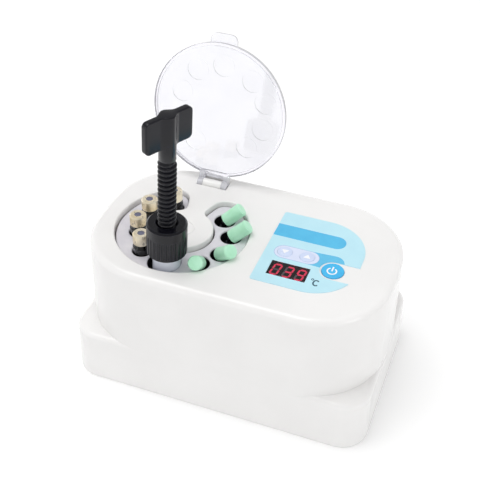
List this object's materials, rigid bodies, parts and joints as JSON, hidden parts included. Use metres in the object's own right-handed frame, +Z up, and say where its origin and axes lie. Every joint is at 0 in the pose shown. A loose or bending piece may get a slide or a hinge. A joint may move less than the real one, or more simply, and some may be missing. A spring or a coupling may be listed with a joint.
{
  "type": "dental composite warmer",
  "caption": "Bench warmer for dental filling material: heated well block in a moulded housing with a clear hinged lid, key panel and a screw syringe in its well.",
  "frame": {"origin": "middle of the housing's bottom rim, on the surface the warmer stands on", "axes": "+Z up, +X along the housing from the wells to the key panel, +Y to the hinge side"},
  "size_m": [0.1666, 0.1093, 0.1665],
  "materials": {
    "white_gloss_plastic": "moulded, glossy",
    "grey_plastic": "moulded, matt",
    "black_rubber": "matt",
    "zinc_steel": "plated",
    "anodised_aluminium": "satin",
    "silicone_rubber": "matt",
    "insulating_plastic": "matt",
    "felt": "pressed felt",
    "circuit_board": "solder mask",
    "black_plastic": "moulded, satin",
    "display_glass": "smoked, glossy",
    "printed_label": "printed film",
    "blue_plastic": "printed, glossy",
    "white_key_plastic": "glossy",
    "clear_plastic": "clear, polished",
    "grey_translucent_plastic": "translucent",
    "cartridge_glass": "clear",
    "grey_rubber": "matt",
    "gold_aluminium": "satin, gold tint",
    "green_plastic": "moulded, satin"
  },
  "bodies": {
    "case": {"housing": "white_gloss_plastic", "base_plate": "grey_plastic", "rubber_feet": "black_rubber", "base_screws": "zinc_steel", "heating_block": "anodised_aluminium", "heater_pad": "silicone_rubber", "temperature_sensor": "zinc_steel", "thermal_fuse": "zinc_steel", "support_posts": "insulating_plastic", "post_screws": "zinc_steel", "insulation_band": "felt", "control_board": "circuit_board", "board_screws": "zinc_steel", "push_switches": "black_plastic", "display_module": "black_plastic", "display_window": "display_glass", "panel_label": "printed_label", "power_inlet": "black_plastic", "hinge_pin": "zinc_steel", "hinge_block": "white_gloss_plastic", "hinge_screws": "zinc_steel", "syringe_barrel": "grey_translucent_plastic", "syringe_collar": "black_plastic", "cartridge_1_glass": "cartridge_glass", "cartridge_1_seal": "grey_rubber", "cartridge_1_cap": "gold_aluminium", "cartridge_1_stopper": "grey_rubber", "compule_1_barrel": "black_plastic", "compule_1_plug": "black_rubber", "compule_1_cap": "green_plastic", "cartridge_2_glass": "cartridge_glass", "cartridge_2_seal": "grey_rubber", "cartridge_2_cap": "gold_aluminium", "cartridge_2_stopper": "grey_rubber", "compule_2_barrel": "black_plastic", "compule_2_plug": "black_rubber", "compule_2_cap": "green_plastic", "cartridge_3_glass": "cartridge_glass", "cartridge_3_seal": "grey_rubber", "cartridge_3_cap": "gold_aluminium", "cartridge_3_stopper": "grey_rubber", "compule_3_barrel": "black_plastic", "compule_3_plug": "black_rubber", "compule_3_cap": "green_plastic", "cartridge_4_glass": "cartridge_glass", "cartridge_4_seal": "grey_rubber", "cartridge_4_cap": "gold_aluminium", "cartridge_4_stopper": "grey_rubber", "compule_4_barrel": "black_plastic", "compule_4_plug": "black_rubber", "compule_4_cap": "green_plastic"},
    "lid": {"lid": "clear_plastic"},
    "power_key": {"power_key": "blue_plastic"},
    "up_key": {"up_key": "white_key_plastic"},
    "down_key": {"down_key": "white_key_plastic"},
    "piston": {"syringe_piston": "black_rubber"},
    "screw": {"syringe_screw": "black_plastic"}
  },
  "joints": [
    {"name": "lid_hinge", "type": "hinge", "parent": "case", "child": "lid", "pos_m": [-0.0344, 0.039, 0.0801], "axis": [1, 0, 0], "range_deg": [0, 50]},
    {"name": "power_key_press", "type": "slide", "parent": "case", "child": "power_key", "axis": [0, 0, -1], "range_m": [0, 0.0004], "stiffness_N_per_m": 1500},
    {"name": "up_key_press", "type": "slide", "parent": "case", "child": "up_key", "axis": [0, 0, -1], "range_m": [0, 0.0004], "stiffness_N_per_m": 1500},
    {"name": "down_key_press", "type": "slide", "parent": "case", "child": "down_key", "axis": [0, 0, -1], "range_m": [0, 0.0004], "stiffness_N_per_m": 1500},
    {"name": "piston_advance", "type": "slide", "parent": "case", "child": "piston", "axis": [-0.0419, 0, -0.9991], "range_m": [0, 0.036]},
    {"name": "screw_turn", "type": "hinge", "parent": "piston", "child": "screw", "pos_m": [-0.03415, -0.03058, 0.02785], "axis": [-0.0419, 0, -0.9991], "range_deg": [0, 4984]}
  ],
  "couplings": [
    {"joint": "piston_advance", "follows": "screw_turn", "m_per_rad": 0.0004138}
  ]
}
